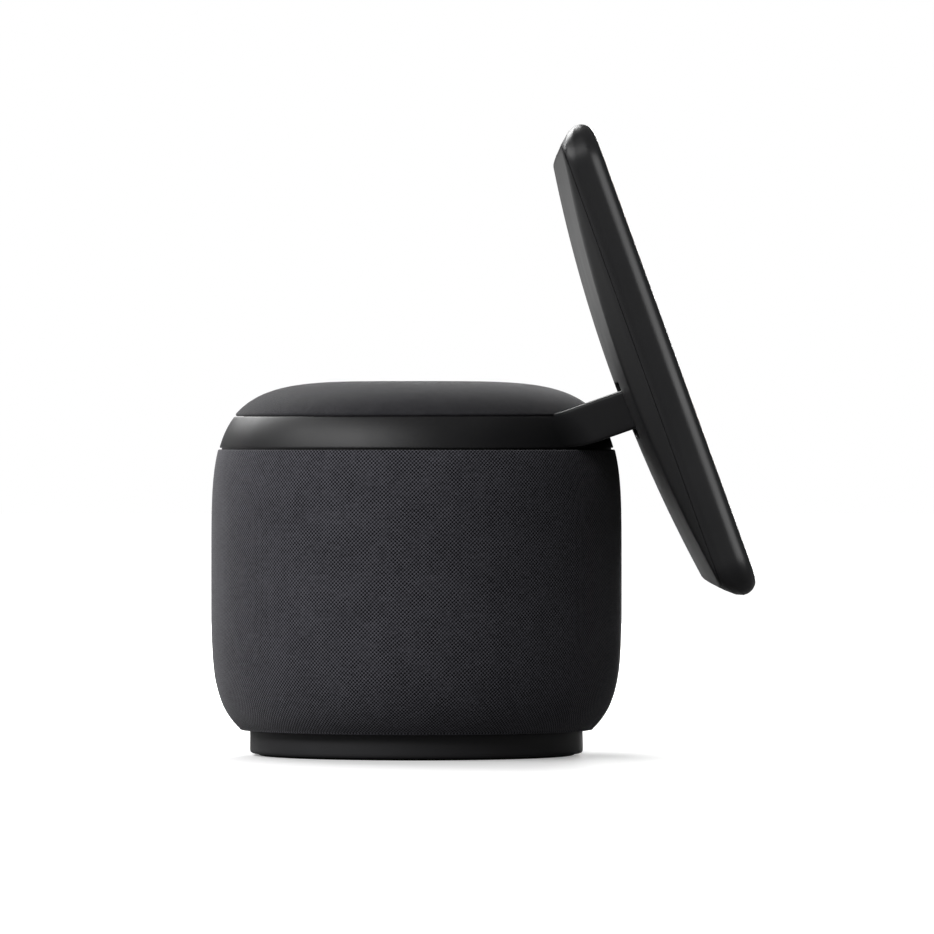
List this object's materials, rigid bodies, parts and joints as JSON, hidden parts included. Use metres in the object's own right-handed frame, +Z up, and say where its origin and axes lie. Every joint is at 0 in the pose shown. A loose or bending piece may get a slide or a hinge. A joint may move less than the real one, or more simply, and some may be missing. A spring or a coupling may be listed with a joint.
{
  "type": "smart speaker",
  "caption": "Round fabric-covered smart speaker whose motorised top ring turns and holds a tilting touch display on a short arm.",
  "frame": {"origin": "on the swivel axis, in the plane of the table: the centre of the rubber foot's underside", "axes": "+Z up along the swivel axis; X across the display; -Y towards the viewer of the display, so the woofer and power inlet face +Y"},
  "size_m": [0.251, 0.1949, 0.2263],
  "materials": {
    "knit": "charcoal knitted speaker cloth",
    "satin_plastic": "fine satin, near black",
    "inner_plastic": "plain moulded",
    "rubber": "matt",
    "steel": "plain",
    "aluminium": "die cast and sheet",
    "magnet": "sintered ferrite",
    "cone": "moulded cone",
    "board": "green circuit board with parts",
    "acetal": "natural acetal",
    "front_glass": "black-backed glossy cover glass",
    "panel": "display panel, switched off"
  },
  "bodies": {
    "base": {"rubber_foot": "rubber", "foot_plinth": "satin_plastic", "ballast_plate": "steel", "base_pan": "inner_plastic", "speaker_housing": "inner_plastic", "fabric_sleeve": "knit", "main_board": "board", "heat_sink": "aluminium", "power_jack": "satin_plastic", "jack_bezel": "satin_plastic", "woofer_frame": "satin_plastic", "woofer_surround": "rubber", "woofer_spider": "knit", "woofer_magnet": "magnet", "magnet_yoke": "steel", "tweeter_frame_left": "satin_plastic", "tweeter_frame_right": "satin_plastic", "tweeter_dome_left": "knit", "tweeter_dome_right": "knit", "top_deck": "aluminium", "deck_screw_1": "steel", "deck_screw_2": "steel", "deck_screw_3": "steel", "bearing_lower": "steel", "glide_ring": "acetal", "swivel_motor": "steel", "base_cable": "rubber"},
    "cone": {"woofer_cone": "cone"},
    "idler": {"idler_gear": "acetal"},
    "pinion": {"motor_pinion": "steel"},
    "turret": {"turntable": "aluminium", "hub_retainer": "steel", "ring_gear": "acetal", "bearing_upper": "steel", "swivel_ring": "satin_plastic", "ring_screw_1": "steel", "ring_screw_2": "steel", "ring_screw_3": "steel", "arm_core": "aluminium", "hinge_pin": "steel", "arm_cable": "rubber", "top_cap": "inner_plastic", "fabric_cap": "knit"},
    "display": {"back_cover": "satin_plastic", "side_frame": "satin_plastic", "cover_glass": "front_glass", "lcd_panel": "panel", "display_chassis": "aluminium", "display_board": "board", "camera_module": "satin_plastic", "camera_lens": "front_glass", "microphone_board": "board", "button_board": "board", "hinge_bracket_left": "steel", "hinge_bracket_right": "steel"},
    "mute_button": {"mute_button": "satin_plastic"},
    "volume_down_button": {"volume_down_button": "satin_plastic"},
    "volume_up_button": {"volume_up_button": "satin_plastic"},
    "shutter": {"shutter_knob": "satin_plastic", "shutter_blade": "satin_plastic"}
  },
  "joints": [
    {"name": "swivel", "type": "hinge", "parent": "base", "child": "turret", "pos_m": [0, 0, 0.115], "axis": [0, 0, 1], "range_deg": [-175, 175]},
    {"name": "tilt", "type": "hinge", "parent": "turret", "child": "display", "pos_m": [0, -0.0819, 0.1277], "axis": [-1, 0, 0], "range_deg": [-19.9, 20]},
    {"name": "idler_spin", "type": "hinge", "parent": "base", "child": "idler", "pos_m": [0.0504, 0, 0.11], "axis": [0, 0, 1], "range_deg": [-1050, 1050]},
    {"name": "pinion_spin", "type": "hinge", "parent": "base", "child": "pinion", "pos_m": [0.04716, 0.01669, 0.108], "axis": [0, 0, 1], "range_deg": [-2520, 2520]},
    {"name": "cone_travel", "type": "slide", "parent": "base", "child": "cone", "axis": [0, 1, 0], "range_m": [-0.002, 0.002], "stiffness_N_per_m": 1500},
    {"name": "mute_button_press", "type": "slide", "parent": "display", "child": "mute_button", "axis": [0, -0.8738, -0.4862], "range_m": [0, 0.0005], "stiffness_N_per_m": 2000, "springref_m": -0.0004},
    {"name": "volume_down_button_press", "type": "slide", "parent": "display", "child": "volume_down_button", "axis": [0, -0.8738, -0.4862], "range_m": [0, 0.0005], "stiffness_N_per_m": 2000, "springref_m": -0.0004},
    {"name": "volume_up_button_press", "type": "slide", "parent": "display", "child": "volume_up_button", "axis": [0, -0.8738, -0.4862], "range_m": [0, 0.0005], "stiffness_N_per_m": 2000, "springref_m": -0.0004},
    {"name": "shutter_slide", "type": "slide", "parent": "display", "child": "shutter", "axis": [1, 0, 0], "range_m": [0, 0.0095]}
  ],
  "couplings": [
    {"joint": "idler_spin", "follows": "swivel", "ratio": -6},
    {"joint": "pinion_spin", "follows": "swivel", "ratio": 14.4}
  ]
}
